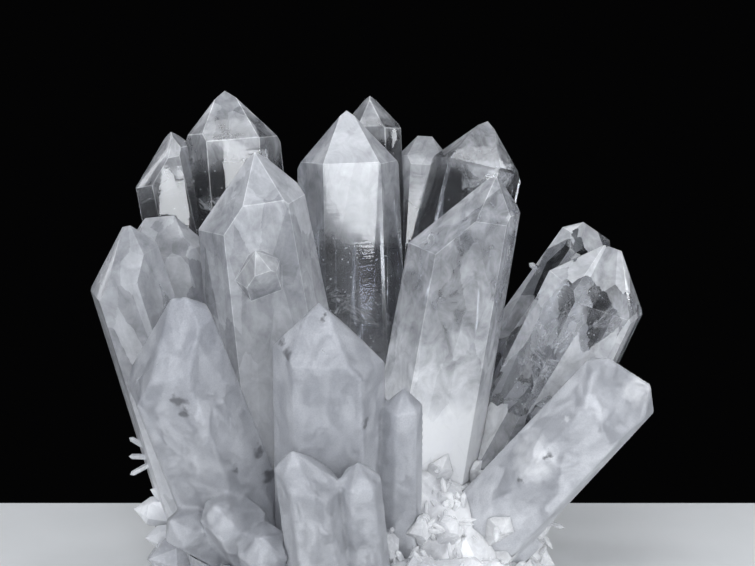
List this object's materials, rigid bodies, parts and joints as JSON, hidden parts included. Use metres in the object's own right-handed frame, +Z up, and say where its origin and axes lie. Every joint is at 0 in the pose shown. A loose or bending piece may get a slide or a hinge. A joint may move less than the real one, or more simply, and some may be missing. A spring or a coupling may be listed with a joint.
{
  "type": "quartz crystal cluster",
  "caption": "Clear to milky quartz points, six-sided with slanting tips, that fan out from a druzy base with a flat underside; a mineral specimen that stands on a shelf.",
  "frame": {"origin": "point near the middle of the flat underside, under the middle of the fan of points", "axes": "+Z up out of the underside, +X to the right as seen from the front, where the frosted front points are, +Y away to the back"},
  "size_m": [0.1638, 0.1208, 0.145],
  "materials": {
    "right_chisel_quartz": "clear above, milky towards the root, smooth faces",
    "upper_left_quartz": "cloudy quartz with veils, smooth faces",
    "centre_quartz": "clear body under a cloudy tip",
    "front_centre_quartz": "frosted, cloudy quartz",
    "front_left_quartz": "frosted, cloudy quartz",
    "low_right_quartz": "frosted, cloudy quartz",
    "outer_right_quartz": "clear with many inner fractures",
    "outer_left_quartz": "cloudy quartz, smooth faces",
    "tall_left_quartz": "clear, glossy faces",
    "far_left_quartz": "clear, glossy faces",
    "upper_right_quartz": "clear, glossy faces",
    "centre_back_quartz": "clear, glossy faces",
    "small_back_quartz": "clear, glossy faces",
    "druse": "white, milky druse of small crystals"
  },
  "bodies": {
    "root": {"right_chisel_point": "right_chisel_quartz", "upper_left_point": "upper_left_quartz", "centre_point": "centre_quartz", "front_centre_points": "front_centre_quartz", "front_left_point": "front_left_quartz", "low_right_point": "low_right_quartz", "outer_right_points": "outer_right_quartz", "outer_left_points": "outer_left_quartz", "tall_left_point": "tall_left_quartz", "far_left_point": "far_left_quartz", "upper_right_point": "upper_right_quartz", "centre_back_point": "centre_back_quartz", "small_back_point": "small_back_quartz", "druzy_base": "druse"}
  },
  "joints": []
}
